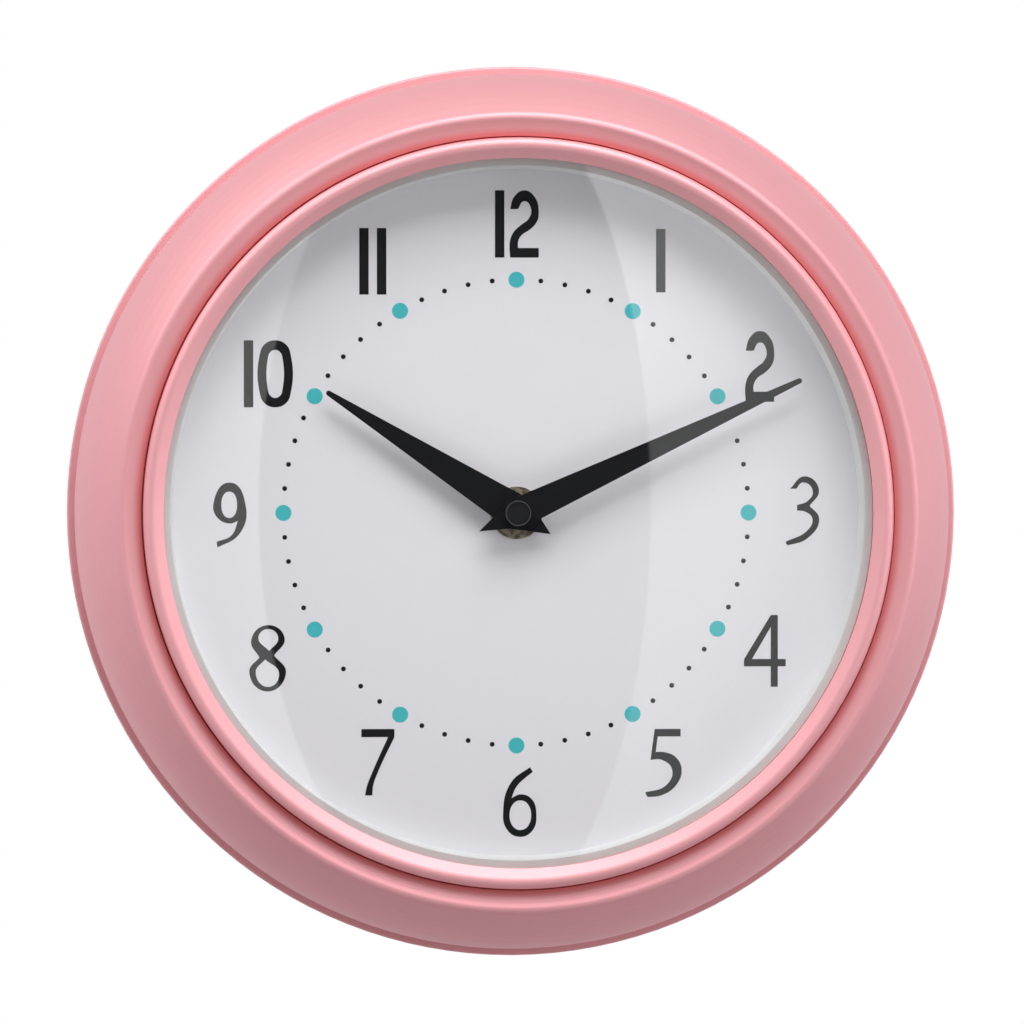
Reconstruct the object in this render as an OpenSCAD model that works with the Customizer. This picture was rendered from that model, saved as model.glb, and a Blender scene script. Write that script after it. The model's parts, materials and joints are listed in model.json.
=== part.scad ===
// Round battery wall clock, in millimetres.
// Each piece is drawn lying on its back: x is to the right of the dial, y is up the dial and z is the
// distance from the wall. stand_up() then turns the clock to hang with +Z up and its dial facing -Y.
// The origin is on the dial's axis, in the plane of the wall.

/* [Case] */
// Radius over the lip that lies against the wall
case_r = 120; // [116:1:124]
// Radius of the case's side where it leaves the lip
side_r = 118; // [115:0.5:118.4]
// Radius where the bulging side meets the shoulder
shoulder_r = 106.2; // [105.8:0.1:106.8]
// Distance from the wall to where the side meets the shoulder
shoulder_z = 34.5; // [34:0.25:35.5]
// Thickness of the spun sheet
sheet = 1.2; // [0.8:0.1:1.5]

/* [Bezel and glass] */
// Outer radius of the bezel ring
bezel_r = 99.3; // [98.6:0.1:99.6]
// Radius of the opening inside the bezel ring
opening_r = 93.8; // [93.6:0.1:94.2]
// Radius of the sphere that the front of the glass is part of
glass_sphere_r = 330; // [300:5:420]
// Thickness of the glass
glass = 2.2; // [1.8:0.1:2.4]

/* [Dial] */
// Radius of the dial plate
dial_r = 98.5; // [98:0.25:99]
// Distance from the wall to the printed face of the dial
dial_z = 20.6; // [20.4:0.1:20.7]
// Radius of the part of the dial that shows inside the spacer ring
dial_seen_r = 91.6; // [89:0.2:91.8]

/* [Hands] */
// Length of the hour hand from its hole to its tip
hour_length = 60.1; // [50:0.1:64]
// Greatest width of the hour hand
hour_width = 9.6; // [8:0.1:11]
// Length of the hour hand behind its hole
hour_tail = 10.5; // [8:0.1:12]
// Where the hour hand points, in degrees clockwise from twelve
hour_points = 302.4; // [0:0.1:360]
// Length of the minute hand from its hole to its tip
minute_length = 83.5; // [70:0.1:84]
// Greatest width of the minute hand
minute_width = 8.2; // [7:0.1:10]
// Length of the minute hand behind its hole
minute_tail = 11.4; // [8:0.1:12]
// Where the minute hand points, in degrees clockwise from twelve
minute_points = 64.9; // [0:0.1:360]

/* [Movement] */
// Width and height of the quartz movement
movement_w = 56; // [56:0.5:60]
// Distance between the centre arbor and the third wheel's arbor
third_distance = 9.6; // [9.5:0.05:9.7]
// Distance between the centre arbor and the minute wheel's arbor
minute_distance = 10.5; // [10.4:0.05:10.7]
// Distance between the centre arbor and the intermediate wheel's arbor
intermediate_distance = 9.45; // [9.3:0.05:9.5]
// Distance between the intermediate wheel's arbor and the rotor
rotor_distance = 7.92; // [7.8:0.02:7.98]

/* [Hanging] */
// Height of the keyhole's entry above the dial's axis
keyhole_y = 84; // [70:1:88]
// Radius of the keyhole's entry, which the screw's head passes through
keyhole_r = 4.5; // [4:0.1:5]
// Width of the keyhole's slot, which the screw's shank sits in
slot_w = 4.4; // [4.2:0.1:5]

/* [Hidden] */
$fn = 96;

// ---- Colours
pink = [0.91, 0.63, 0.65];
pale_pink = [0.96, 0.72, 0.76];
dial_white = [0.87, 0.86, 0.90];
brass = [0.72, 0.62, 0.40];
steel = [0.72, 0.73, 0.75];
black = [0.07, 0.07, 0.08];
wheel_cream = [0.95, 0.94, 0.90];

// ---- The case's section: three arcs that run into each other, then a flat flange
lip_t = 1.2;                          // thickness of the lip against the wall
side_turn = 2 * atan((side_r - shoulder_r) / (shoulder_z - lip_t));
side_arc_r = (shoulder_z - lip_t) / sin(side_turn);
side_centre = [side_r - side_arc_r, lip_t];
crest_arc_r = 2;                      // the bright shoulder
crest_end = 110;                      // direction in which the shoulder runs into the valley
crest_centre = [shoulder_r, shoulder_z] - crest_arc_r * [cos(side_turn), sin(side_turn)];
bezel_gap = 0.4;                      // between the bezel and the valley's inner end
valley_arc_r = (crest_centre[0] - bezel_r - bezel_gap) / -cos(crest_end) - crest_arc_r;
valley_centre = crest_centre + (crest_arc_r + valley_arc_r) * [cos(crest_end), sin(crest_end)];
ledge = 2.55;                         // how far the flange is pressed in behind the valley
flange_z = valley_centre[1] - valley_arc_r - ledge;    // front of the flange that carries the glass
flange_r = opening_r + 0.4;           // radius of the hole in the flange
arc_step = 4;                         // degrees from point to point of an arc

// ---- Glass, gasket and spacer
gasket_t = 0.5;
gasket_r = 96.8;
glass_r = 96.6;
glass_seat_z = flange_z + gasket_t;   // lowest point of the glass, at its edge
glass_centre_z = glass_seat_z - sqrt(pow(glass_sphere_r - glass, 2) - pow(glass_r, 2));
glass_gap = 0.1;                      // between the glass and the bezel in front of it

// ---- The bezel's section: an arc outside its crest, a smaller one inside, then a straight slope
bezel_outer_arc_r = 1.9;
bezel_inner_arc_r = 2.6;
bezel_slope = 30;                     // degrees that its inner side falls toward the glass
bezel_edge_t = 0.35;                  // thickness of its inner edge
bezel_seat_r = gasket_r + 0.2;
bezel_crest_r = bezel_r - bezel_outer_arc_r;
bezel_edge_z = glass_front(opening_r) + glass_gap + bezel_edge_t;
bezel_crest_z = bezel_edge_z
    + (bezel_crest_r - bezel_inner_arc_r * sin(bezel_slope) - opening_r) * tan(bezel_slope)
    + bezel_inner_arc_r * (1 - cos(bezel_slope));
dial_t = 1;
ring_r = 97.5;                        // outer radius of the spacer ring
ring_top_r = 92.1;                    // inner radius of the spacer ring at its front

// ---- Heights inside the movement, from the wall
cover_z0 = 2.6;                       // back of the movement
cover_z1 = 3.8;
board_t = 0.8;
stator_z0 = 6.6;
stator_z1 = 7.4;
magnet_z0 = 6.1;
magnet_z1 = 7.9;
interm_z = 8.4;                       // intermediate wheel and rotor pinion
interm_t = 0.6;
second_z = 9.5;                       // second wheel and intermediate pinion
second_t = 0.6;
plate_z0 = 10.6;
plate_z1 = 11.3;
third_z = 11.7;                       // third wheel and second pinion
third_t = 0.7;
centre_z = 13.1;                      // centre wheel and third pinion
centre_t = 0.8;
minute_z = 14.5;                      // minute wheel and cannon pinion
minute_t = 0.9;
hour_z = 15.9;                        // hour wheel and minute pinion
hour_t = 0.9;
front_z0 = 17.4;                      // inside of the movement's front wall
front_z1 = 18.6;
wall_t = 1.2;                         // wall of the movement's case
pin_gap = 0.05;                       // running clearance round an arbor

// ---- Pivots of the train
pivot_r = 0.3;
pivot_bore_r = 0.35;
spindle_r = 0.6;                      // the thicker part between two pivots
pivot_z0 = 4.4;                       // rear ends of the pivots
seat_r = 1;
seat_z1 = 5.2;                        // top of the seats that hold the rear pivots
spindle_z0 = 5.4;
bore_z0 = 4.2;                        // bottom of the bores in the seats
front_pivot_z1 = front_z0 + 0.5;      // front ends of the pivots that reach the front wall
front_bore = 0.7;                     // depth of their bores in the front wall

// ---- Stack on the movement's neck
neck_r = 4;
neck_z1 = 23.6;
neck_bore_r = 2.58;
washer_r = 7;
washer_t = 0.6;
nut_flats = 10;                       // across the flats
nut_t = 2.2;
hour_tube_r = 2.5;
hour_tube_bore_r = 1.68;
hour_hand_z = 25;
minute_tube_r = 1.6;
minute_tube_bore_r = 0.6;
second_arbor_r = 0.5;
minute_hand_z = 27.2;
hand_t = 0.5;
hand_tip_r = 0.7;
collet_t = 1.1;
hour_collet_r = 3.6;
minute_collet_r = 2.6;
cap_r = 3.45;
cap_t = 2.2;
cap_hole = 1;                         // depth of the hole in the cap's back
tube_end_z = minute_hand_z + hand_t + 0.9;
second_end_z = minute_hand_z + hand_t + 0.6;
neck_gasket_r = 9;

// ---- Places of the arbors, seen from the front, and the teeth in each mesh
third_at = third_distance * [cos(20), sin(20)];
minute_at = [-minute_distance, 0];
interm_at = intermediate_distance * [cos(110), sin(110)];
rotor_at = interm_at + rotor_distance * [cos(150), sin(150)];
rotor_module = rotor_distance / 36;          // 12 and 60 teeth
interm_module = intermediate_distance / 35;  // 10 and 60 teeth
second_module = third_distance / 34;         // 8 and 60 teeth
third_module = third_distance / 36;          // 8 and 64 teeth
cannon_module = minute_distance / 24;        // 12 and 36 teeth
minute_module = minute_distance / 25;        // 10 and 40 teeth

// ---- Battery, size AA
cell_r = 7.1;
cell_length = 49.2;
cell_nub_r = 2.6;
cell_nub = 1;
cell_at = [0, -19.2, cover_z0 + cell_r + 0.1];
bay_y0 = -26.8;
bay_y1 = -11.6;
contact_t = 0.4;
contact_low = [-24, 5];               // corners of the two contact plates, up the dial and from the wall
contact_high = [-14, 15];
bow_at = [-20.7, 9];
bow_w = 3;
// the battery lies along the bottom of the movement, with its nub to the left
cell_start = -(movement_w / 2 - wall_t - contact_t) + 0.1;
cell_end = cell_start + cell_nub + cell_length;

// ---- Coil, along the top of the movement, with its middle above the rotor
coil_y = 21.5;
coil_z = 8;
coil_x0 = rotor_at[0] - 8.5;
coil_x1 = rotor_at[0] + 8.5;
coil_flange = 4.1;                    // half of a bobbin flange's width and height
coil_flange_t = 1;
coil_tube_r = 2;
winding_r = 3.7;
core_half_w = 1.25;
core_reach = 13;                      // half of the core's length
leg_w = 4;                            // width of the stator's legs

// ---- Fixed pieces inside the movement
case_corner_r = 3;
post_places = [[-23.5, -8], [23.5, -8], [-23.5, 15], [23.5, 15]];
post_r = 1.4;
plate_low = [-25.5, -10];
plate_high = [25.5, 17];
board_low = [5, -9.8];
board_high = [26, 25.5];
chip_at = [16, 4];
chip_dome_r = 5;
chip_dome_drop = 3.6;                 // how far the dome's centre is behind the board's face
crystal_at = [12, 20];
crystal_r = 1;
crystal_length = 6;

// ---- Back cover
back_z0 = 3;
back_z1 = 5;
back_r = 112;
slot_length = 9;                      // from the keyhole's entry to the top of its slot
window = movement_w + 3;
carrier_r = 97;                       // the ring that holds the dial against its spacer
carrier_t = 2;
pocket_half_w = 9;                    // the gap in that ring behind the keyhole
pocket_y0 = 80;
pocket_z1 = 15;
lug_turn = 7;                         // degrees that a lug takes up on the case
lug_r = 105;
lug_t = 1.6;
lug_top_z = 16;
screw_places = [45, 135, 225, 315];
screw_ring_r = 108.5;
screw_r = 1.35;
screw_length = 6;
screw_head_r = 3;
screw_head_t = 1.4;
recess_half = [1.7, 0.3];             // half of the length and width of the cross in its head
recess_depth = 0.7;

// ---- Setting knob
knob_r = 6;
knob_z0 = 0.7;
knob_t = 1.7;
knob_grooves = 24;
groove_r = 0.5;
setting_shaft_r = 1;

// ---- Helpers

// Turns a piece from lying on its back to hanging on the wall.
module stand_up() {
    rotate([90, 0, 0]) children();
}

// The points of an arc, at both ends and every arc_step degrees or less between them.
function arc(centre, r, from, to) =
    let (n = ceil(abs(to - from) / arc_step))
    [for (i = [0:n]) centre + r * [cos(from + (to - from) * i / n), sin(from + (to - from) * i / n)]];

// Radius of the inside of the case's wall at a distance from the wall that it hangs on.
function case_inside(z) =
    side_centre[0] + sqrt(pow(side_arc_r - sheet, 2) - pow(z - side_centre[1], 2));

// Puts a piece at a place on the dial, given as right and up from its axis.
module put_at(place) {
    translate([place[0], place[1], 0]) children();
}

// A cylinder between two distances from the wall.
module disc(r, z0, z1) {
    translate([0, 0, z0]) cylinder(r = r, h = z1 - z0);
}

// A ring between two distances from the wall.
module ring(r_out, r_in, z0, z1) {
    translate([0, 0, z0]) linear_extrude(z1 - z0) difference() {
        circle(r = r_out);
        circle(r = r_in);
    }
}

// A block between two corners.
module block(low, high) {
    translate(low) cube(high - low);
}

// A flat shape with four round corners.
module rounded(w, h, r) {
    square([w - 2 * r, h], center = true);
    square([w, h - 2 * r], center = true);
    for (x = [-1, 1], y = [-1, 1]) translate([x * (w / 2 - r), y * (h / 2 - r)]) circle(r = r);
}

// A toothed disc between two distances from the wall, with the middle of a tooth at the angle
// "tooth_at". The teeth are thin for their pitch, so that they never touch a mating tooth.
module gear(teeth, size, tooth_at, z0, t) {
    pitch_r = teeth * size / 2;
    step = 360 / teeth;
    root_r = pitch_r - 1.2 * size;
    tip_r = pitch_r + 0.75 * size;
    translate([0, 0, z0]) linear_extrude(t) polygon([
        for (i = [0:teeth - 1], corner = [[root_r, -0.24], [pitch_r, -0.19], [tip_r, -0.07],
                                          [tip_r, 0.07], [pitch_r, 0.19], [root_r, 0.24]])
            let (a = tooth_at + (i + corner[1]) * step) corner[0] * [cos(a), sin(a)]
    ]);
}

// The angle of a tooth that puts a gap of that gear at the angle "at".
function gap_at(at, teeth) = at + 180 / teeth;

// The direction from one arbor to another.
function toward(from, to) = atan2(to[1] - from[1], to[0] - from[0]);

// A kite-shaped hand that points up, with a pointed tail and a small round tip.
module kite(length, width, tail) {
    tip_y = length - hand_tip_r;
    polygon([[0, -tail], [width / 2, 0], [hand_tip_r, tip_y], [-hand_tip_r, tip_y], [-width / 2, 0]]);
    translate([0, tip_y]) circle(r = hand_tip_r, $fn = 32);
}

// ---- Case, glass and dial

module case_rim() {
    outside = concat(
        arc(side_centre, side_arc_r, 0, side_turn),
        arc(crest_centre, crest_arc_r, side_turn, crest_end),
        arc(valley_centre, valley_arc_r, crest_end + 180, 270));
    // the sheet's back meets the back of the ledge where it is one sheet thickness outside it
    step_end = 270 + asin(sheet / (valley_arc_r + sheet));
    inside = concat(
        arc(valley_centre, valley_arc_r + sheet, step_end, crest_end + 180),
        arc(crest_centre, crest_arc_r - sheet, crest_end, side_turn),
        arc(side_centre, side_arc_r - sheet, side_turn, 0));
    edge_r = lip_t / 2;
    lip = arc([case_r - edge_r, edge_r], edge_r, -90, 90);
    color(pink) stand_up() rotate_extrude($fn = 180) polygon(concat(
        lip, outside,
        [[valley_centre[0], flange_z], [flange_r, flange_z]],
        [[flange_r, flange_z - sheet], [valley_centre[0] + sheet, flange_z - sheet]],
        inside,
        [[side_r - sheet, 0]]));
}

module bezel_ring() {
    outer_centre = [bezel_crest_r, bezel_crest_z - bezel_outer_arc_r];
    inner_centre = [bezel_crest_r, bezel_crest_z - bezel_inner_arc_r];
    // the underside follows the glass a little way in front of it
    behind = [for (r = [opening_r, (opening_r + bezel_seat_r) / 2, bezel_seat_r])
                  [r, glass_front(min(r, glass_r)) + glass_gap]];
    color(pale_pink) stand_up() rotate_extrude($fn = 180) polygon(concat(
        [[bezel_seat_r, flange_z], [bezel_r, flange_z]],
        arc(outer_centre, bezel_outer_arc_r, 0, 90),
        arc(inner_centre, bezel_inner_arc_r, 90, 90 + bezel_slope),
        [[opening_r, bezel_edge_z]],
        behind));
}

// Distance from the wall to the front of the glass at a radius.
function glass_front(r) = glass_centre_z + sqrt(pow(glass_sphere_r, 2) - pow(r, 2));

module glass_lens() {
    color([0.8, 0.85, 0.88, 0.35]) stand_up() rotate_extrude($fn = 180) intersection() {
        difference() {
            translate([0, glass_centre_z]) circle(r = glass_sphere_r, $fn = 720);
            translate([0, glass_centre_z]) circle(r = glass_sphere_r - glass, $fn = 720);
        }
        square([glass_r, 80]);
    }
}

module lens_gasket() {
    color(black) stand_up() ring(gasket_r, flange_r, flange_z, flange_z + gasket_t);
}

module dial_ring() {
    top_z = flange_z - sheet;
    color(dial_white) stand_up() rotate_extrude($fn = 180) polygon([
        [dial_seen_r, dial_z], [ring_r, dial_z], [ring_r, top_z], [ring_top_r, top_z]]);
}

module dial_plate() {
    color(dial_white) stand_up() ring(dial_r, neck_r + 0.1, dial_z - dial_t, dial_z);
}

// Four bent lugs fixed inside the case, one above each back screw.
module case_lugs() {
    foot_z = back_z1 + lug_t;
    gap = 0.05;
    color(steel) stand_up() for (place = screw_places)
        rotate([0, 0, place - lug_turn / 2]) difference() {
            rotate_extrude(angle = lug_turn, $fn = 180) polygon([
                [lug_r, back_z1], [case_inside(back_z1) - gap, back_z1],
                [case_inside(foot_z) - gap, foot_z], [case_inside(lug_top_z) - gap, lug_top_z],
                [case_inside(lug_top_z) - lug_t, lug_top_z], [case_inside(foot_z) - lug_t, foot_z],
                [lug_r, foot_z]]);
            rotate([0, 0, lug_turn / 2]) translate([screw_ring_r, 0, back_z1 - 1])
                cylinder(r = screw_r + 0.05, h = lug_t + 2, $fn = 48);
        }
}

// A flat moulded disc with a window for the movement and a keyhole to hang the clock by.
module back_cover() {
    slot_top = keyhole_y + slot_length;
    low = back_z0 - 1;
    high = back_z1 + 1;
    color([0.12, 0.12, 0.13]) stand_up() difference() {
        disc(back_r, back_z0, back_z1);
        block([-window / 2, -window / 2, low], [window / 2, window / 2, high]);
        put_at([0, keyhole_y]) disc(keyhole_r, low, high);
        block([-slot_w / 2, keyhole_y, low], [slot_w / 2, slot_top, high]);
        put_at([0, slot_top]) disc(slot_w / 2, low, high);
        for (place = screw_places) rotate([0, 0, place]) put_at([screw_ring_r, 0])
            disc(screw_r + 0.15, low, high, $fn = 48);
    }
}

// The ring between the back cover and the dial, cut away behind the keyhole.
module dial_carrier() {
    color([0.12, 0.12, 0.13]) stand_up() difference() {
        ring(carrier_r, carrier_r - carrier_t, back_z1, dial_z - dial_t);
        block([-pocket_half_w, pocket_y0, back_z1 - 1], [pocket_half_w, carrier_r + 1, pocket_z1]);
    }
}

// Four pan-head screws, with a cross recess.
module back_screws() {
    head_z = back_z0 - screw_head_t;
    color(steel) stand_up() for (place = screw_places)
        rotate([0, 0, place]) put_at([screw_ring_r, 0]) difference() {
            union() {
                disc(screw_head_r, head_z, back_z0, $fn = 48);
                disc(screw_r, back_z0, back_z0 + screw_length, $fn = 48);
            }
            for (turn = [0, 90]) rotate([0, 0, turn])
                block([-recess_half[0], -recess_half[1], head_z - 1],
                      [recess_half[0], recess_half[1], head_z + recess_depth]);
        }
}

// ---- Hands and what is under them

// A kite with a collet behind it and a hole for its tube.
module hand(length, width, tail, z, collet_r, hole_r) {
    difference() {
        union() {
            translate([0, 0, z]) linear_extrude(hand_t) kite(length, width, tail);
            disc(collet_r, z - collet_t, z);
        }
        disc(hole_r, z - collet_t - 1, z + hand_t + 1);
    }
}

module hour_hand() {
    color(black) stand_up() rotate([0, 0, -hour_points])
        hand(hour_length, hour_width, hour_tail, hour_hand_z, hour_collet_r, hour_tube_r);
}

module minute_hand() {
    color(black) stand_up() rotate([0, 0, -minute_points])
        hand(minute_length, minute_width, minute_tail, minute_hand_z, minute_collet_r, minute_tube_r);
}

// The nut on the centre tube's end, with a shallow dish in its front.
module hand_cap() {
    z0 = minute_hand_z + hand_t;
    dish_t = 0.3;
    rim_t = 0.45;
    color(black) stand_up() difference() {
        disc(cap_r, z0, z0 + cap_t);
        disc(minute_tube_r, z0 - 1, z0 + cap_hole);
        disc(cap_r - rim_t, z0 + cap_t - dish_t, z0 + cap_t + 1);
    }
}

module dial_washer() {
    color(brass) stand_up() ring(washer_r, neck_r + 0.05, dial_z, dial_z + washer_t);
}

module neck_nut() {
    corner_r = nut_flats / 2 / cos(30);
    z0 = dial_z + washer_t;
    color(brass) stand_up() difference() {
        rotate([0, 0, 30]) disc(corner_r, z0, z0 + nut_t, $fn = 6);
        disc(neck_r, z0 - 1, z0 + nut_t + 1);
    }
}

module neck_gasket() {
    color(black) stand_up() ring(neck_gasket_r, neck_r + 0.05, front_z1, dial_z - dial_t);
}

// ---- Movement: fixed pieces

// The movement's outline as a plate between two distances from the wall.
module movement_block(z0, z1) {
    translate([0, 0, z0]) linear_extrude(z1 - z0) rounded(movement_w, movement_w, case_corner_r);
}

// An open box with the neck on its front, a wall between the train and the battery, and four posts.
module movement_case() {
    inside = movement_w / 2 - wall_t;
    low = cover_z1 - 1;
    color([0.16, 0.16, 0.17]) stand_up() {
        difference() {
            movement_block(cover_z1, front_z1);
            block([-inside, bay_y1 + wall_t, low], [inside, inside, front_z0]);
            block([-inside, bay_y0, low], [inside, bay_y1, front_z0]);
            disc(neck_bore_r, front_z0 - 1, front_z1 + 1);
            for (place = [third_at, minute_at]) put_at(place)
                disc(pivot_bore_r, front_z0 - 1, front_z0 + front_bore);
        }
        ring(neck_r, neck_bore_r, front_z1, neck_z1);
        for (place = post_places) put_at(place) disc(post_r, plate_z1, front_z0);
    }
}

// The lid over the train, with seats for the rear pivots and two pads under the stator.
module movement_cover() {
    inside = movement_w / 2 - wall_t;
    pad_x = core_reach - leg_w / 2;
    color([0.22, 0.22, 0.23]) stand_up() difference() {
        union() {
            movement_block(cover_z0, cover_z1);
            for (place = [[0, 0], interm_at, rotor_at]) put_at(place) disc(seat_r, cover_z1, seat_z1);
            for (x = [-pad_x, pad_x]) put_at([rotor_at[0] + x, coil_y]) disc(1.2, cover_z1, stator_z0);
        }
        block([-inside, bay_y0, cover_z0 - 1], [inside, bay_y1, cover_z1 + 1]);
        for (place = [[0, 0], interm_at, rotor_at]) put_at(place) disc(pivot_bore_r, bore_z0, seat_z1 + 1);
        put_at(minute_at) disc(setting_shaft_r + pin_gap, cover_z0 - 1, cover_z1 + 1);
    }
}

module train_plate() {
    low = plate_z0 - 1;
    high = plate_z1 + 1;
    color([0.85, 0.84, 0.80]) stand_up() difference() {
        block([plate_low[0], plate_low[1], plate_z0], [plate_high[0], plate_high[1], plate_z1]);
        for (place = [third_at, interm_at, rotor_at]) put_at(place) disc(pivot_bore_r, low, high);
        disc(second_arbor_r + pin_gap, low, high);
        put_at(minute_at) disc(setting_shaft_r + 0.3, low, high);
    }
}

module circuit_board() {
    color([0.10, 0.36, 0.22]) stand_up()
        block([board_low[0], board_low[1], cover_z1], [board_high[0], board_high[1], cover_z1 + board_t]);
}

// The drop of black resin over the chip.
module clock_chip() {
    face_z = cover_z1 + board_t;
    color(black) stand_up() intersection() {
        translate([chip_at[0], chip_at[1], face_z - chip_dome_drop]) sphere(r = chip_dome_r, $fn = 64);
        put_at(chip_at) block([-chip_dome_r, -chip_dome_r, face_z], [chip_dome_r, chip_dome_r, face_z + 4]);
    }
}

module quartz_crystal() {
    color(steel) stand_up() translate([crystal_at[0], crystal_at[1], cover_z1 + board_t + crystal_r])
        rotate([0, 90, 0]) cylinder(r = crystal_r, h = crystal_length, $fn = 48);
}

// Puts a piece drawn along z on the coil's axis, from the left-hand flange.
module along_coil() {
    translate([coil_x0, coil_y, coil_z]) rotate([0, 90, 0]) children();
}

// A tube with two square flanges and a flat hole for the core.
module coil_bobbin() {
    hole_half = [core_half_w + 0.05, 0.65];
    color([0.92, 0.90, 0.84]) stand_up() difference() {
        union() {
            for (x = [coil_x0, coil_x1 - coil_flange_t])
                block([x, coil_y - coil_flange, coil_z - coil_flange],
                      [x + coil_flange_t, coil_y + coil_flange, coil_z + coil_flange]);
            along_coil() cylinder(r = coil_tube_r, h = coil_x1 - coil_x0, $fn = 48);
        }
        block([coil_x0 - 1, coil_y - hole_half[0], coil_z - hole_half[1]],
              [coil_x1 + 1, coil_y + hole_half[0], coil_z + hole_half[1]]);
    }
}

module coil_winding() {
    length = coil_x1 - coil_x0 - 2 * coil_flange_t;
    color([0.72, 0.36, 0.16]) stand_up() along_coil() translate([0, 0, coil_flange_t]) difference() {
        cylinder(r = winding_r, h = length, $fn = 64);
        translate([0, 0, -1]) cylinder(r = coil_tube_r + 0.02, h = length + 2, $fn = 48);
    }
}

module coil_core() {
    color(steel) stand_up()
        block([rotor_at[0] - core_reach, coil_y - core_half_w, stator_z1],
              [rotor_at[0] + core_reach, coil_y + core_half_w, coil_z + 0.6]);
}

// A flat plate round the rotor, with a leg up to each end of the coil's core.
module stator() {
    left = rotor_at[0] - core_reach;
    right = rotor_at[0] + core_reach;
    bar_y0 = rotor_at[1] - 5;
    bar_y1 = rotor_at[1] + 4.2;
    leg_y1 = coil_y + 1.8;
    color(steel) stand_up() difference() {
        union() {
            block([left, bar_y0, stator_z0], [right, bar_y1, stator_z1]);
            for (x = [left, right - leg_w]) block([x, bar_y0, stator_z0], [x + leg_w, leg_y1, stator_z1]);
        }
        put_at(rotor_at) disc(3.3, stator_z0 - 1, stator_z1 + 1);
        put_at(interm_at) disc(1.2, stator_z0 - 1, stator_z1 + 1);
    }
}

// A contact plate whose left-hand face is at x.
module contact_plate(x) {
    block([x, contact_low[0], contact_low[1]], [x + contact_t, contact_high[0], contact_high[1]]);
}

module positive_contact() {
    color([0.80, 0.80, 0.76]) stand_up() contact_plate(wall_t - movement_w / 2);
}

// A plate with a springy bow that reaches the battery's flat end.
module negative_contact() {
    plate_x = movement_w / 2 - wall_t - contact_t;
    bow_x = cell_end + 0.1;
    color([0.80, 0.80, 0.76]) stand_up() {
        contact_plate(plate_x);
        block([bow_x, bow_at[0], bow_at[1]], [plate_x + 0.1, bow_at[0] + bow_w, bow_at[1] + contact_t]);
        block([bow_x, bow_at[0], bow_at[1]], [bow_x + contact_t, bow_at[0] + bow_w, bow_at[1] + bow_w]);
    }
}

module battery() {
    color([0.16, 0.17, 0.20]) stand_up()
        translate([cell_start, cell_at[1], cell_at[2]]) rotate([0, 90, 0]) {
            cylinder(r = cell_nub_r, h = cell_nub, $fn = 64);
            translate([0, 0, cell_nub]) cylinder(r = cell_r, h = cell_length);
        }
}

// ---- Movement: the train, from the rotor to the hands

module rotor_magnet() {
    color([0.25, 0.25, 0.27]) stand_up() put_at(rotor_at) ring(2.9, spindle_r, magnet_z0, magnet_z1);
}

// A rear spindle with its pivot, up to the back of a wheel.
module rear_spindle(z1) {
    disc(pivot_r, pivot_z0, spindle_z0 + 0.1);
    disc(spindle_r, spindle_z0, z1);
}

module rotor_pinion() {
    z0 = interm_z - 0.1;
    color([0.90, 0.90, 0.88]) stand_up() put_at(rotor_at) {
        gear(12, rotor_module, toward(rotor_at, interm_at), z0, interm_t + 0.3);
        rear_spindle(interm_z);
        disc(pivot_r, z0, plate_z1 - 0.1);
    }
}

module intermediate_wheel() {
    wheel_z1 = interm_z + interm_t;
    pinion_z1 = second_z + second_t + 0.2;
    color(wheel_cream) stand_up() put_at(interm_at) {
        gear(60, rotor_module, gap_at(toward(interm_at, rotor_at), 60), interm_z, interm_t);
        gear(10, interm_module, toward(interm_at, [0, 0]), wheel_z1, pinion_z1 - wheel_z1);
        rear_spindle(interm_z + 0.1);
        disc(pivot_r, pinion_z1 - 0.1, plate_z1 - 0.1);
    }
}

// The seconds wheel, with its arbor up through the centre tube.
module second_wheel() {
    color(wheel_cream) stand_up() {
        gear(60, interm_module, gap_at(toward([0, 0], interm_at), 60), second_z, second_t);
        gear(8, second_module, toward([0, 0], third_at), third_z - 0.2, third_t + 0.4);
        rear_spindle(second_z + 0.1);
        disc(second_arbor_r, second_z + 0.1, second_end_z);
    }
}

module third_wheel() {
    wheel_z1 = third_z + third_t;
    pinion_z1 = centre_z + centre_t + 0.2;
    color(wheel_cream) stand_up() put_at(third_at) {
        gear(60, second_module, gap_at(toward(third_at, [0, 0]), 60), third_z, third_t);
        gear(8, third_module, toward(third_at, [0, 0]), wheel_z1, pinion_z1 - wheel_z1);
        disc(pivot_r, plate_z0 + 0.1, third_z + 0.1);
        disc(pivot_r, pinion_z1 - 0.2, front_pivot_z1);
    }
}

// The wheel, the pinion and the long tube that the minute hand sits on.
module centre_wheel() {
    wheel_z1 = centre_z + centre_t;
    color(wheel_cream) stand_up() difference() {
        union() {
            gear(64, third_module, gap_at(toward([0, 0], third_at), 64), centre_z, centre_t);
            gear(12, cannon_module, toward([0, 0], minute_at),
                 wheel_z1, minute_z + minute_t + 0.1 - wheel_z1);
            disc(minute_tube_r, minute_z, tube_end_z);
        }
        disc(minute_tube_bore_r, centre_z - 1, tube_end_z + 1);
    }
}

// The wheel between the minute hand's pinion and the hour wheel, on the setting knob's shaft.
module minute_wheel() {
    wheel_z1 = minute_z + minute_t;
    pinion_z1 = hour_z + hour_t + 0.2;
    color(wheel_cream) stand_up() put_at(minute_at) {
        gear(36, cannon_module, gap_at(toward(minute_at, [0, 0]), 36), minute_z, minute_t);
        gear(10, minute_module, toward(minute_at, [0, 0]), wheel_z1, pinion_z1 - wheel_z1);
        disc(setting_shaft_r, knob_z0 + knob_t, minute_z + 0.1);
        disc(pivot_r, pinion_z1 - 0.2, front_pivot_z1);
    }
}

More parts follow.
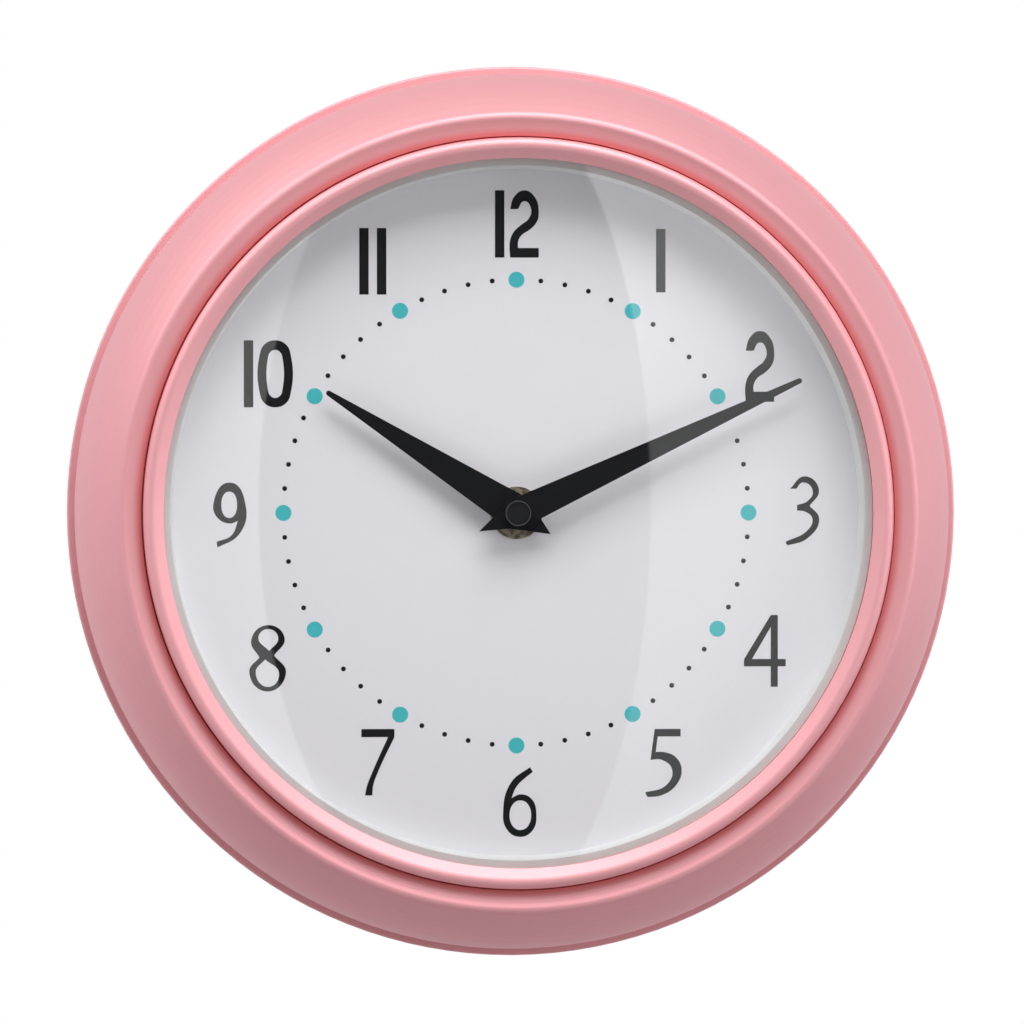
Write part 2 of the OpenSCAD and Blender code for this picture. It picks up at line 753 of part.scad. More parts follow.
// The wheel and the tube that the hour hand sits on.
module hour_wheel() {
    color(wheel_cream) stand_up() difference() {
        union() {
            gear(40, minute_module, gap_at(toward([0, 0], minute_at), 40), hour_z, hour_t);
            disc(hour_tube_r, hour_z, hour_hand_z + hand_t);
        }
        disc(hour_tube_bore_r, hour_z - 1, hour_hand_z + hand_t + 1);
    }
}

// The knob on the back that turns the hands, with grooves round its edge.
module set_knob() {
    knob_z1 = knob_z0 + knob_t;
    color([0.12, 0.12, 0.13]) stand_up() put_at(minute_at) difference() {
        disc(knob_r, knob_z0, knob_z1);
        for (i = [0:knob_grooves - 1]) rotate([0, 0, i * 360 / knob_grooves]) put_at([knob_r + 0.2, 0])
            disc(groove_r, knob_z0 - 1, knob_z1 + 1, $fn = 24);
    }
}

case_rim();
bezel_ring();
glass_lens();
lens_gasket();
dial_ring();
dial_plate();
case_lugs();
back_cover();
dial_carrier();
back_screws();
hour_hand();
minute_hand();
hand_cap();
dial_washer();
neck_nut();
neck_gasket();
movement_case();
movement_cover();
train_plate();
circuit_board();
clock_chip();
quartz_crystal();
coil_bobbin();
coil_winding();
coil_core();
stator();
rotor_magnet();
rotor_pinion();
intermediate_wheel();
second_wheel();
third_wheel();
centre_wheel();
minute_wheel();
hour_wheel();
set_knob();
positive_contact();
negative_contact();
battery();
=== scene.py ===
"""Looks for a round wall clock: lacquer, glass, printed dial, hands, movement, studio and camera."""

import json
import math

import bmesh
import bpy
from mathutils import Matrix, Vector


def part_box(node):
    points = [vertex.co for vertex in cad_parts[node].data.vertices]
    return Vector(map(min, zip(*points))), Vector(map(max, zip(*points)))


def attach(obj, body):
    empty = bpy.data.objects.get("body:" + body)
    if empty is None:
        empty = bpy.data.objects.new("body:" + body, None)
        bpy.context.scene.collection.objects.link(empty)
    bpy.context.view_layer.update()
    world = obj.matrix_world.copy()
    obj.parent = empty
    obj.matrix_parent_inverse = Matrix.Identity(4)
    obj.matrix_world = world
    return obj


MM = 0.001
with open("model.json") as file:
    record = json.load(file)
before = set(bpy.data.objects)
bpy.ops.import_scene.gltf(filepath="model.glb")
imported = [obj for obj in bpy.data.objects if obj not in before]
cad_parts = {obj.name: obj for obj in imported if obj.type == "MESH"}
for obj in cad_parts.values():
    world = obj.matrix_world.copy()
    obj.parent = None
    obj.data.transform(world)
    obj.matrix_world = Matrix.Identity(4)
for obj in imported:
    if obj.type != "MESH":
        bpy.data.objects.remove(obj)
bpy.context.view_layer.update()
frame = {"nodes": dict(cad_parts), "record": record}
nodes = frame["nodes"]

DIAL_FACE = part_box("dial_plate")[0].y  # the dial faces -Y
GLASS_SPHERE_R = 330 * MM  # the front of the glass is part of this sphere

# ---------------------------------------------------------------- camera

VIEW_FROM = (-3.2, 0.9)  # degrees to the right of the dial's axis, and above it
VIEW_DISTANCE = 1.5
AIM = Vector((-0.0012, DIAL_FACE, 0.0002))
LENS = 197.8  # focal length and the sensor's width in mm
SENSOR = 36.0


def direction(azimuth, elevation):
    """The unit vector from the clock toward something in front of it, in degrees right and up."""
    a = math.radians(azimuth)
    e = math.radians(elevation)
    return Vector((math.sin(a) * math.cos(e), -math.cos(a) * math.cos(e), math.sin(e)))


def make_camera():
    data = bpy.data.cameras.new("camera")
    data.lens = LENS
    data.sensor_width = SENSOR
    camera = bpy.data.objects.new("camera", data)
    bpy.context.collection.objects.link(camera)
    back = direction(*VIEW_FROM)
    camera.location = AIM + back * VIEW_DISTANCE
    camera.rotation_mode = "QUATERNION"
    camera.rotation_quaternion = (-back).to_track_quat("-Z", "Y")
    bpy.context.scene.camera = camera


# ---------------------------------------------------------------- material helpers


def start_material(name):
    """A new material, its node tree and its Principled shader."""
    material = bpy.data.materials.new(name)
    material.use_nodes = True
    tree = material.node_tree
    return material, tree, tree.nodes["Principled BSDF"]


def place(tree):
    """Object coordinates, in metres."""
    return tree.nodes.new("ShaderNodeTexCoord").outputs["Object"]


def axes(tree):
    """The X, Y and Z of the place."""
    split = tree.nodes.new("ShaderNodeSeparateXYZ")
    tree.links.new(place(tree), split.inputs[0])
    return split.outputs[0], split.outputs[1], split.outputs[2]


def maths(tree, operation, *values):
    """A Math node's result. Each value is a number or a socket."""
    node = tree.nodes.new("ShaderNodeMath")
    node.operation = operation
    for socket, value in zip(node.inputs, values):
        if isinstance(value, (int, float)):
            socket.default_value = value
        else:
            tree.links.new(value, socket)
    return node.outputs[0]


def radius(tree):
    """Distance from the dial's axis."""
    x, _, z = axes(tree)
    squares = maths(tree, "ADD", maths(tree, "MULTIPLY", x, x), maths(tree, "MULTIPLY", z, z))
    return maths(tree, "SQRT", squares)


def noise(tree, scale, detail=3.0, stretch=(1.0, 1.0, 1.0), vector=None):
    """Noise between 0 and 1, with about scale cells a metre, over the place or another vector."""
    mapping = tree.nodes.new("ShaderNodeMapping")
    mapping.inputs["Scale"].default_value = stretch
    tree.links.new(vector or place(tree), mapping.inputs["Vector"])
    node = tree.nodes.new("ShaderNodeTexNoise")
    node.inputs["Scale"].default_value = scale
    node.inputs["Detail"].default_value = detail
    tree.links.new(mapping.outputs[0], node.inputs["Vector"])
    return node.outputs["Fac"]


def rings(tree, scale, detail=2.0):
    """Noise that changes only with the distance from the dial's axis, as a lathe leaves it."""
    join = tree.nodes.new("ShaderNodeCombineXYZ")
    tree.links.new(radius(tree), join.inputs[0])
    return noise(tree, scale, detail, vector=join.outputs[0])


def between(tree, amount, low, high):
    """Low to high as amount goes from 0 to 1."""
    node = tree.nodes.new("ShaderNodeMapRange")
    node.inputs["To Min"].default_value = low
    node.inputs["To Max"].default_value = high
    tree.links.new(amount, node.inputs["Value"])
    return node.outputs[0]


def contrast(tree, amount, low, high):
    """0 where amount is at low or beyond it, 1 at high or beyond it, and smooth between the two."""
    node = tree.nodes.new("ShaderNodeMapRange")
    node.interpolation_type = "SMOOTHSTEP"
    node.inputs["From Min"].default_value = low
    node.inputs["From Max"].default_value = high
    tree.links.new(amount, node.inputs["Value"])
    return node.outputs[0]


def blend(tree, amount, first, second):
    """A colour between two others. Each is an RGB tuple or a socket."""
    node = tree.nodes.new("ShaderNodeMix")
    node.data_type = "RGBA"
    tree.links.new(amount, node.inputs["Factor"])
    for socket, value in ((node.inputs[6], first), (node.inputs[7], second)):
        if isinstance(value, tuple):
            socket.default_value = (*value, 1.0)
        else:
            tree.links.new(value, socket)
    return node.outputs[2]


def bump(tree, shader, height, depth, below=None):
    """Gives the shader relief of that depth in metres, over the relief below. Returns its normal."""
    node = tree.nodes.new("ShaderNodeBump")
    node.inputs["Distance"].default_value = depth
    tree.links.new(height, node.inputs["Height"])
    if below is not None:
        tree.links.new(below, node.inputs["Normal"])
    tree.links.new(node.outputs[0], shader.inputs["Normal"])
    return node.outputs[0]


def shaded(colour, factor):
    """A darker or lighter version of a colour, with no part of it over 1."""
    return tuple(min(1.0, c * factor) for c in colour)


def surface(name, colour, rough, *, metal=0.0, mottle=(60.0, 0.05), grain=(3000.0, 0.00001),
            rough_spread=0.06, specular=0.5):
    """A finish with mottled colour, uneven gloss and fine relief. mottle is (cells a metre, share),
    and grain is (cells a metre, depth in metres)."""
    material, tree, shader = start_material(name)
    patches = noise(tree, mottle[0])
    tint = blend(tree, patches, shaded(colour, 1 - mottle[1]), shaded(colour, 1 + mottle[1]))
    tree.links.new(tint, shader.inputs["Base Color"])
    gloss = between(tree, noise(tree, mottle[0] * 7), rough - rough_spread, rough + rough_spread)
    tree.links.new(gloss, shader.inputs["Roughness"])
    bump(tree, shader, noise(tree, grain[0]), grain[1])
    shader.inputs["Metallic"].default_value = metal
    shader.inputs["Specular IOR Level"].default_value = specular
    return material


# The colour of the painted shade in the groove between the case and the bezel.
GROOVE_SHADE_PINK = (0.72, 0.16, 0.165)


def lathe_lacquer(name, colour, groove_shade, rough, coat):
    """Pearl lacquer on spun metal: fine pigment, faint rings under it and a little orange peel. Painted
    shade of the groove makes it a deeper colour at the first radius given for that shade, which fades
    out toward the second."""
    material, tree, shader = start_material(name)
    patches = noise(tree, 26.0)
    flakes = noise(tree, 9000.0, 1.0)
    tint = blend(tree, patches, shaded(colour, 0.985), shaded(colour, 1.015))
    tint = blend(tree, maths(tree, "MULTIPLY", flakes, 0.12), tint, shaded(colour, 1.12))
    # Painted shade: the lacquer turns deep red where the groove between the case and the bezel lies in
    # shade.
    past_groove_shade = contrast(tree, radius(tree), groove_shade[0] * MM, groove_shade[1] * MM)
    tint = blend(tree, past_groove_shade, GROOVE_SHADE_PINK, tint)
    tree.links.new(tint, shader.inputs["Base Color"])
    uneven = noise(tree, 180.0)
    tree.links.new(between(tree, uneven, rough - 0.03, rough + 0.03), shader.inputs["Roughness"])
    turned = bump(tree, shader, rings(tree, 900.0), 0.000004)
    bump(tree, shader, noise(tree, 700.0, 2.0), 0.000006, turned)
    shader.inputs["Metallic"].default_value = 0.5
    shader.inputs["Coat Weight"].default_value = coat
    shader.inputs["Coat Roughness"].default_value = 0.4
    return material


# The share of light that the glass mirrors seen straight on, how much more it mirrors at a grazing
# angle, and the power by which that grows.
MIRRORED = 0.042
MIRRORED_MORE = 0.96
MIRRORED_GROWTH = 5.0


def lens_glass():
    """Clear glass that reflects by its angle and lets light straight through. Its normals point away
    from the centre of the sphere, so that what it mirrors has no facets."""
    material, tree, shader = start_material("clear_glass")
    tree.nodes.remove(shader)
    facing = tree.nodes.new("ShaderNodeLayerWeight")
    facing.inputs["Blend"].default_value = 0.5
    grazing = maths(tree, "POWER", facing.outputs["Facing"], MIRRORED_GROWTH)
    mirrored = maths(tree, "MULTIPLY_ADD", grazing, MIRRORED_MORE, MIRRORED)
    clear = tree.nodes.new("ShaderNodeBsdfTransparent")
    clear.inputs["Color"].default_value = (0.985, 0.99, 0.988, 1.0)
    shine = tree.nodes.new("ShaderNodeBsdfAnisotropic")
    shine.inputs["Color"].default_value = (1.0, 1.0, 1.0, 1.0)
    sphere_centre = (0.0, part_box("glass_lens")[0].y + GLASS_SPHERE_R, 0.0)
    outward = tree.nodes.new("ShaderNodeVectorMath")
    outward.operation = "SUBTRACT"
    tree.links.new(place(tree), outward.inputs[0])
    outward.inputs[1].default_value = sphere_centre
    tree.links.new(outward.outputs[0], shine.inputs["Normal"])
    wiped = contrast(tree, noise(tree, 14.0, 4.0, (1.0, 1.0, 2.4)), 0.45, 0.75)
    tree.links.new(between(tree, wiped, 0.015, 0.05), shine.inputs["Roughness"])
    mix = tree.nodes.new("ShaderNodeMixShader")
    tree.links.new(mirrored, mix.inputs["Fac"])
    tree.links.new(clear.outputs[0], mix.inputs[1])
    tree.links.new(shine.outputs[0], mix.inputs[2])
    tree.links.new(mix.outputs[0], tree.nodes["Material Output"].inputs["Surface"])
    return material


def brushed(name, colour, rough):
    """Bare metal with fine turning marks round the dial's axis."""
    material, tree, shader = start_material(name)
    marks = rings(tree, 5000.0, 3.0)
    stain = contrast(tree, noise(tree, 700.0), 0.35, 0.65)
    tint = blend(tree, stain, shaded(colour, 0.45), shaded(colour, 1.25))
    tree.links.new(tint, shader.inputs["Base Color"])
    tree.links.new(between(tree, marks, rough - 0.08, rough + 0.12), shader.inputs["Roughness"])
    bump(tree, shader, marks, 0.000008)
    shader.inputs["Metallic"].default_value = 1.0
    return material


INK_BLACK = (0.006, 0.006, 0.008)

# Between which radii, in mm, the painted highlight on the cap's rim starts and ends.
HIGHLIGHT_STARTS = (3.08, 3.18)
HIGHLIGHT_ENDS = (3.30, 3.40)


def hand_lacquer():
    """Black lacquer with a painted highlight as a pale ring on the rim of the cap, and dull in the
    hollow inside it.
    """
    material, tree, shader = start_material("black_lacquer")
    from_axis = radius(tree)
    past_hollow = contrast(tree, from_axis, HIGHLIGHT_STARTS[0] * MM, HIGHLIGHT_STARTS[1] * MM)
    past_rim = contrast(tree, from_axis, HIGHLIGHT_ENDS[0] * MM, HIGHLIGHT_ENDS[1] * MM)
    rim = maths(tree, "SUBTRACT", past_hollow, past_rim)
    # Painted highlight: a pale, uneven ring on the cap's rim.
    painted_highlight = maths(tree, "MULTIPLY", rim, between(tree, noise(tree, 600.0), 0.4, 1.0))
    tree.links.new(blend(tree, painted_highlight, INK_BLACK, (0.12, 0.12, 0.125)), shader.inputs["Base Color"])
    hollow = maths(tree, "SUBTRACT", 1.0, past_hollow)
    rough = maths(tree, "MULTIPLY_ADD", hollow, 0.4, between(tree, noise(tree, 1400.0), 0.32, 0.4))
    tree.links.new(rough, shader.inputs["Roughness"])
    bump(tree, shader, noise(tree, 2500.0), 0.000005)
    shader.inputs["Specular IOR Level"].default_value = 0.28
    return material


WIRE_PITCH = 0.3 * MM


def wound_wire():
    """Enamelled copper wire, laid turn by turn along the coil, with painted shade between the turns and
    painted highlight on their crowns.
    """
    material, tree, shader = start_material("copper_wire")
    x, _, _ = axes(tree)
    turns = maths(tree, "SINE", maths(tree, "MULTIPLY", x, 2 * math.pi / WIRE_PITCH))
    # Painted shade and highlight: each turn is darker where it meets the next and lighter on its crown.
    tint = blend(tree, between(tree, turns, 0.0, 1.0), (0.30, 0.10, 0.03), (0.78, 0.36, 0.14))
    tree.links.new(tint, shader.inputs["Base Color"])
    tree.links.new(between(tree, noise(tree, 900.0), 0.22, 0.4), shader.inputs["Roughness"])
    bump(tree, shader, turns, 0.00004)
    shader.inputs["Metallic"].default_value = 0.85
    return material


NUB = 1.0 * MM  # how far the cell's positive pole stands out
WRAP_BAND = 11 * MM  # width of the pale band
BARE_LEFT = 0.15 * MM  # how much of each end the wrap leaves bare
BARE_RIGHT = 0.05 * MM


def cell_wrap():
    """A plain shrink wrap with a pale band at the positive end, and bare metal at both ends."""
    low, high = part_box("battery")
    shoulder = low.x + NUB
    material, tree, shader = start_material("cell_wrap")
    x, _, _ = axes(tree)
    band = maths(tree, "LESS_THAN", x, shoulder + WRAP_BAND)
    bare_left = maths(tree, "LESS_THAN", x, shoulder + BARE_LEFT)
    bare_right = maths(tree, "GREATER_THAN", x, high.x - BARE_RIGHT)
    bare = maths(tree, "MAXIMUM", bare_left, bare_right)
    tint = blend(tree, noise(tree, 90.0), (0.022, 0.07, 0.15), (0.03, 0.09, 0.18))
    tint = blend(tree, band, tint, (0.62, 0.63, 0.64))
    tint = blend(tree, bare, tint, (0.7, 0.7, 0.71))
    tree.links.new(tint, shader.inputs["Base Color"])
    tree.links.new(maths(tree, "MULTIPLY_ADD", bare, 0.5, 0.4), shader.inputs["Metallic"])
    tree.links.new(between(tree, noise(tree, 260.0), 0.22, 0.34), shader.inputs["Roughness"])
    bump(tree, shader, noise(tree, 1500.0), 0.000008)
    return material


TRACK_WAVES = 2200.0  # radians a metre across the tracks
TRACK_WANDER = 4 * MM


def etched_board():
    """Green solder mask with faint tracks under it."""
    material, tree, shader = start_material("green_board")
    x, _, _ = axes(tree)
    wander = maths(tree, "MULTIPLY", noise(tree, 260.0, 1.0), TRACK_WANDER)
    across = maths(tree, "SINE", maths(tree, "MULTIPLY", maths(tree, "ADD", x, wander), TRACK_WAVES))
    tracks = contrast(tree, across, 0.2, 0.5)
    tint = blend(tree, tracks, (0.012, 0.11, 0.05), (0.03, 0.2, 0.09))
    tree.links.new(tint, shader.inputs["Base Color"])
    tree.links.new(between(tree, noise(tree, 500.0), 0.25, 0.4), shader.inputs["Roughness"])
    bump(tree, shader, tracks, 0.00002)
    return material


PINK = (0.80, 0.375, 0.405)
BEZEL_PINK = (0.84, 0.40, 0.43)

# One material for each slot of the record, and one for each ink. The radii of the painted shade in the
# groove are in mm.
MATERIALS = {
    "pink_lacquer": lathe_lacquer("pink_lacquer", PINK, groove_shade=(99.6, 102.4), rough=0.55, coat=0.06),
    "bezel_lacquer": lathe_lacquer("bezel_lacquer", BEZEL_PINK, groove_shade=(99.3, 98.95), rough=0.54,
                                   coat=0.07),
    "clear_glass": lens_glass(),
    "dial_paint": surface("dial_paint", (0.83, 0.81, 0.86), 0.62, mottle=(18.0, 0.008),
                          grain=(5000.0, 0.000006), specular=0.35),
    "spacer_plastic": surface("spacer_plastic", (0.88, 0.88, 0.875), 0.5, mottle=(40.0, 0.02)),
    "black_lacquer": hand_lacquer(),
    "brass": brushed("brass", (0.66, 0.57, 0.45), 0.38),
    "black_rubber": surface("black_rubber", (0.02, 0.02, 0.02), 0.8, mottle=(300.0, 0.2)),
    "black_plastic": surface("black_plastic", (0.022, 0.022, 0.024), 0.58, mottle=(80.0, 0.18),
                             grain=(1400.0, 0.00006)),
    "grey_plastic": surface("grey_plastic", (0.045, 0.045, 0.048), 0.45, mottle=(120.0, 0.12),
                            grain=(2200.0, 0.00003)),
    "cream_plastic": surface("cream_plastic", (0.80, 0.77, 0.68), 0.42, mottle=(300.0, 0.04)),
    "plated_steel": surface("plated_steel", (0.62, 0.62, 0.63), 0.32, metal=1.0, mottle=(500.0, 0.12),
                            grain=(4000.0, 0.00001), rough_spread=0.1),
    "green_board": etched_board(),
    "black_resin": surface("black_resin", (0.012, 0.012, 0.012), 0.18, mottle=(400.0, 0.2)),
    "copper_wire": wound_wire(),
    "magnet": surface("magnet", (0.10, 0.10, 0.105), 0.5, metal=0.7, mottle=(900.0, 0.25)),
    "cell_wrap": cell_wrap(),
    "dial_ink": surface("dial_ink", INK_BLACK, 0.45, mottle=(350.0, 0.2),
                        grain=(4500.0, 0.000006), specular=0.25),
    "teal_ink": surface("teal_ink", (0.062, 0.52, 0.56), 0.42, mottle=(500.0, 0.05),
                        grain=(4500.0, 0.000006)),
}


# How far the edges of some pieces are rounded, in mm, where their faces turn by more than SHARP.
SOFT_EDGES = {"neck_nut": 0.3, "dial_washer": 0.2, "minute_hand": 0.06, "hour_hand": 0.06,
              "back_screws": 0.12, "set_knob": 0.2, "movement_case": 0.25, "movement_cover": 0.2}
SHARP = math.radians(40)


def dress_nodes():
    """Gives each CAD node the material of its slot, and rounds the edges in SOFT_EDGES."""
    for part in frame["record"]["subparts"]:
        mesh = nodes[part["node"]].data
        mesh.materials.clear()
        mesh.materials.append(MATERIALS[part["material_slot"]])
    for name, width in SOFT_EDGES.items():
        bevel = nodes[name].modifiers.new("soft_edges", "BEVEL")
        bevel.width = width * MM
        bevel.segments = 2
        bevel.limit_method = "ANGLE"
        bevel.angle_limit = SHARP


# ---------------------------------------------------------------- printed dial

INK = 0.04 * MM  # thickness of the print
DOT_RING = 62.1 * MM  # radii of the ring that the dots stand on, and of the dots
HOUR_DOT = 2.15 * MM
MINUTE_DOT = 0.66 * MM
BAR = 2.5  # width of a "1", in mm

# Each figure's own height in mm, and its outlines in mm from its lower left corner. A point is (x, y),
# or (x, y, 1) where two sides meet in a corner.
FIGURES = {
    "0": (17.8, [
        [(0, 4.0), (0, 13.8), (1.22, 16.63), (4.15, 17.8), (7.08, 16.63), (8.3, 13.8), (8.3, 4.0),
         (7.08, 1.17), (4.15, 0), (1.22, 1.17)],
        [(2.16, 4.9), (2.74, 3.2), (4.13, 2.48), (5.53, 3.2), (6.11, 4.9), (6.11, 12.85),
         (5.53, 14.55), (4.13, 15.25), (2.74, 14.55), (2.16, 12.85)]]),
    "1": (17.7, [
        [(0, 0, 1), (BAR, 0, 1), (BAR, 17.7, 1), (0, 17.7, 1)]]),
    "2": (18.0, [
        [(0, 12.97, 1), (2.1, 12.97, 1), (3.85, 15.1), (5.62, 12.9), (4.8, 10.2), (3.2, 8.95),
         (1.0, 6.9), (0, 4.5), (0, 0, 1), (7.66, 0, 1), (7.66, 2.56, 1), (2.1, 2.56, 1), (2.2, 4.5),
         (3.2, 6.1), (5.3, 7.5), (7.1, 9.5), (7.66, 12.0), (6.54, 16.3), (3.83, 18.0), (1.12, 16.3)]]),
    "3": (18.45, [
        [(1.23, 15.17, 1), (2.91, 15.17, 1), (4.7, 16.85), (7.35, 14.6), (6.05, 11.92), (3.14, 10.8, 1),
         (3.14, 9.34, 1), (5.38, 9.0), (7.28, 7.1), (6.0, 4.1), (0, 0.94, 1), (0.56, 0, 1), (5.82, 1.84),
         (9.07, 7.21), (6.5, 10.57, 1), (9.0, 14.83), (5.26, 18.46)]]),
    "4": (19.1, [
        [(0, 5.45, 1), (7.2, 5.45, 1), (7.2, 0, 1), (9.08, 0, 1), (9.08, 5.45, 1), (11.2, 5.45, 1),
         (11.2, 7.39, 1), (9.08, 7.39, 1), (9.08, 19.1, 1), (7.2, 19.1, 1), (0, 7.3, 1)],
        [(2.16, 7.39, 1), (7.2, 15.96, 1), (7.2, 7.39, 1)]]),
    "5": (18.2, [
        [(2.58, 18.2, 1), (1.46, 9.95, 1), (4.48, 9.95), (7.28, 7.2), (5.6, 3.1), (0, 1.23, 1),
         (0.67, 0, 1), (4.48, 0.49), (8.51, 3.4), (9.79, 7.44), (8.1, 10.75), (4.9, 12.03),
         (2.85, 12.05, 1), (3.36, 16.2, 1), (9.52, 16.2, 1), (9.52, 18.2, 1)]]),
    "6": (18.6, [
        [(7.16, 18.58, 1), (2.22, 14.7), (0, 7.0), (1.0, 2.0), (4.3, 0), (7.73, 1.54), (8.88, 6.12),
         (7.6, 10.1), (4.75, 11.35), (2.22, 10.37, 1), (3.6, 13.46), (7.91, 17.36, 1)],
        [(1.68, 5.78), (4.59, 9.76), (7.5, 5.78), (4.59, 1.8)]]),
    "7": (17.75, [
        [(0, 17.75, 1), (0, 15.6, 1), (7.11, 15.6, 1), (2.74, 5.75), (1.42, 2.25), (0.98, 0, 1),
         (2.91, 0, 1), (3.17, 2.69), (4.49, 6.41), (8.82, 15.6, 1), (8.82, 17.75, 1)]]),
    "8": (17.7, [
        [(2.7, 9.1, 1), (0.5, 13.65), (4.86, 17.7), (9.4, 14.3), (6.59, 9.6, 1), (9.76, 5.0),
         (4.75, 0), (0, 5.2)],
        [(5.29, 10.8, 1), (2.44, 14.5), (5.18, 16.67), (7.71, 14.3)],
        [(4.21, 8.57, 1), (7.93, 4.79), (5.08, 1.19), (1.68, 5.0)]]),
    "9": (17.25, [
        [(0, 11.56), (4.37, 17.25), (8.63, 10.9), (6.9, 3.6), (1.07, 0, 1), (0.85, 1.54, 1), (4.8, 3.24),
         (6.5, 7.08, 1), (4.4, 6.4), (1.2, 7.8)],
        [(2.09, 11.36), (4.2, 7.86), (6.31, 11.36), (4.2, 14.86)]]),
}

# Each printed figure's lower left corner, in mm right of the dial's axis and above it, and its height.
PRINTED = [
    ("1", -5.74, 68.0, 17.9), ("2", -1.72, 68.0, 17.9),
    ("1", 37.3, 58.8, 16.9),
    ("2", 61.3, 29.6, 18.9),
    ("3", 72.0, -8.8, 18.45),
    ("4", 60.9, -46.6, 19.2),
    ("5", 34.4, -76.0, 18.2),
    ("6", -3.56, -86.5, 18.6),
    ("7", -41.4, -75.3, 17.7),
    ("8", -71.2, -47.5, 17.65),
    ("9", -80.7, -9.2, 17.3),
    ("1", -72.6, 28.1, 17.8), ("0", -68.4, 28.1, 17.8),
    ("1", -41.9, 58.1, 17.7), ("1", -37.2, 58.1, 17.7),
]


def add_outline(curve, points, x, y, stretch):
    """One closed outline in mm, moved by x and y and stretched upward."""
    spline = curve.splines.new("BEZIER")
    spline.bezier_points.add(len(points) - 1)
    spline.use_cyclic_u = True
    for knot, point in zip(spline.bezier_points, points):
        knot.co = ((x + point[0]) * MM, (y + point[1] * stretch) * MM, 0.0)
        kind = "VECTOR" if len(point) == 3 else "AUTO"
        knot.handle_left_type = kind
        knot.handle_right_type = kind


def print_figures():
    """The figures of the twelve numerals, as a thin raised film of ink on the dial."""
    curve = bpy.data.curves.new("numerals", "CURVE")
    curve.dimensions = "2D"
    curve.fill_mode = "BOTH"
    curve.resolution_u = 10
    curve.extrude = INK / 2
    for name, x, y, height in PRINTED:
        own_height, outlines = FIGURES[name]
        for points in outlines:
            add_outline(curve, points, x, y, height / own_height)
    figures = bpy.data.objects.new("numerals", curve)
    bpy.context.collection.objects.link(figures)
    figures.rotation_euler = (math.pi / 2, 0.0, 0.0)
    figures.location = (0.0, DIAL_FACE - INK / 2, 0.0)
    curve.materials.append(MATERIALS["dial_ink"])
    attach(figures, "clock")


# From a dot's edge inward: the share of its radius, and the share of the ink's thickness.
DOT_PROFILE = [(1.0, 0.0), (0.985, 0.55), (0.93, 0.9), (0.8, 1.0)]


def add_dot(mesh, x, z, r, sides):
    """A low round dot of ink, with its edge rounded down to the dial."""
    rows = []
    for scale, height in DOT_PROFILE:
        row = []
        for i in range(sides):
            a = 2 * math.pi * i / sides
            point = (x + r * scale * math.cos(a), DIAL_FACE - INK * height, z + r * scale * math.sin(a))
            row.append(mesh.verts.new(point))
        rows.append(row)
    for outer, inner in zip(rows, rows[1:]):
        for i in range(sides):
            j = (i + 1) % sides
            mesh.faces.new((outer[i], outer[j], inner[j], inner[i]))
    mesh.faces.new(rows[-1])
    mesh.faces.new(tuple(reversed(rows[0])))


def print_dots(name, wanted, r, sides, material):
    """The dots at the minutes for which wanted(minute) is true, as one mesh."""
    mesh = bmesh.new()
    for minute in range(60):
        if wanted(minute):
            a = math.radians(minute * 6)
            add_dot(mesh, DOT_RING * math.sin(a), DOT_RING * math.cos(a), r, sides)
    bmesh.ops.recalc_face_normals(mesh, faces=mesh.faces)
    data = bpy.data.meshes.new(name)
    mesh.to_mesh(data)
    mesh.free()
    dots = bpy.data.objects.new(name, data)
    bpy.context.collection.objects.link(dots)
    data.materials.append(MATERIALS[material])
    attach(dots, "clock")


# ---------------------------------------------------------------- studio


def only_camera_sees(world, seen, front, beside, above):
    """The background that the camera sees, and the light that the room gives: front from the side of
    the camera, beside from both sides of the clock, and above from over and under it."""
    world.use_nodes = True
    tree = world.node_tree
    tree.nodes.clear()
    path = tree.nodes.new("ShaderNodeLightPath")
    back = tree.nodes.new("ShaderNodeBackground")
    back.inputs["Color"].default_value = (*seen, 1.0)
    light = tree.nodes.new("ShaderNodeBackground")
    split = tree.nodes.new("ShaderNodeSeparateXYZ")
    coordinates = tree.nodes.new("ShaderNodeTexCoord")
    tree.links.new(coordinates.outputs["Generated"], split.inputs[0])
    steep = contrast(tree, maths(tree, "ABSOLUTE", split.outputs[2]), 0.1, 0.75)
    off_axis = contrast(tree, split.outputs[1], -0.75, 0.1)
    tint = blend(tree, off_axis, front, blend(tree, steep, beside, above))
    tree.links.new(tint, light.inputs["Color"])
    mix = tree.nodes.new("ShaderNodeMixShader")
    out = tree.nodes.new("ShaderNodeOutputWorld")
    tree.links.new(path.outputs["Is Camera Ray"], mix.inputs[0])
    tree.links.new(light.outputs[0], mix.inputs[1])
    tree.links.new(back.outputs[0], mix.inputs[2])
    tree.links.new(mix.outputs[0], out.inputs[0])


def add_softbox(name, azimuth, elevation, distance, width, height, power):
    """A white rectangular lamp that faces the clock."""
    data = bpy.data.lights.new(name, "AREA")
    data.shape = "RECTANGLE"
    data.size = width
    data.size_y = height
    data.energy = power
    lamp = bpy.data.objects.new(name, data)
    bpy.context.collection.objects.link(lamp)
    toward = direction(azimuth, elevation)
    lamp.location = toward * distance
    lamp.rotation_mode = "QUATERNION"
    lamp.rotation_quaternion = toward.to_track_quat("Z", "Y")
    lamp.visible_camera = False


PANEL_DISTANCE = 1.2
PANEL_HALF = 1.0  # half of a panel's height, as a share of its distance
PANEL_ARC = 1.05  # how far up its near edge would meet the axis, as such a share
PANEL_STEPS = 24
UPPER_PART = (0.25, 0.6)  # the heights in metres between which a panel changes to its upper part


